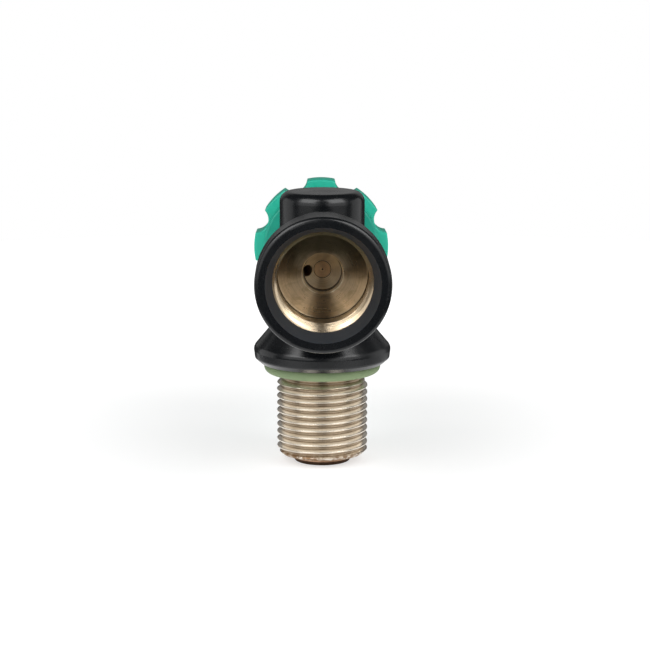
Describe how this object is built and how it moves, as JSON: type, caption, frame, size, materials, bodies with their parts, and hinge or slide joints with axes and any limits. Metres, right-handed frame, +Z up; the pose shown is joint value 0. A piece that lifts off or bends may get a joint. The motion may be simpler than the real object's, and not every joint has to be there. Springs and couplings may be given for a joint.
{
  "type": "cylinder valve",
  "caption": "In-line gas cylinder valve: threaded neck with O-ring below, threaded outlet in front, lobed handwheel behind that screws a seat on and off its nozzle.",
  "frame": {"origin": "on the neck's axis, in the plane where the skirt seats on the cylinder", "axes": "+Z up the neck away from the cylinder, +Y from the outlet's mouth towards the handwheel, +X to the right when looking into the outlet"},
  "size_m": [0.039, 0.0855, 0.075],
  "materials": {
    "black_coated_brass": "glossy black coat over forged brass; the neck thread is bare nickel-plated brass",
    "green_rubber": "matt sage-green rubber",
    "bronze": "turned bronze",
    "sintered_bronze": "granular sintered bronze",
    "copper_brass": "turned brass",
    "bright_brass": "turned brass",
    "seat_plastic": "pale nylon",
    "steel": "stainless steel",
    "black_rubber": "matt black rubber",
    "white_plastic": "white low-friction plastic",
    "plated_brass": "satin nickel plate",
    "teal_plastic": "moulded teal plastic",
    "teal_rubber": "moulded teal rubber"
  },
  "bodies": {
    "body": {"valve_body": "black_coated_brass", "neck_o_ring": "green_rubber", "inlet_bush": "bronze", "inlet_filter": "sintered_bronze", "outlet_plug": "copper_brass", "thrust_washer": "white_plastic", "bonnet_nut": "plated_brass", "bonnet_o_ring": "black_rubber", "glide_washer": "white_plastic"},
    "handwheel": {"upper_spindle": "steel", "spindle_o_ring_inner": "black_rubber", "spindle_o_ring_outer": "black_rubber", "spindle_backup_ring": "white_plastic", "wheel_core": "teal_plastic", "wheel_grip": "teal_rubber", "wheel_spring": "steel", "wheel_spring_washer": "steel", "wheel_lock_nut": "steel", "wheel_cap": "teal_plastic"},
    "seat": {"seat_carrier": "bright_brass", "seat_disc": "seat_plastic"}
  },
  "joints": [
    {"name": "handwheel_turn", "type": "hinge", "parent": "body", "child": "handwheel", "pos_m": [0, 0.0394, 0.0268], "axis": [0, 1, 0], "range_deg": [0, 828]},
    {"name": "seat_travel", "type": "slide", "parent": "handwheel", "child": "seat", "axis": [0, 1, 0], "range_m": [0, 0.0023]}
  ],
  "couplings": [
    {"joint": "seat_travel", "follows": "handwheel_turn", "m_per_rad": 0.00015915}
  ]
}
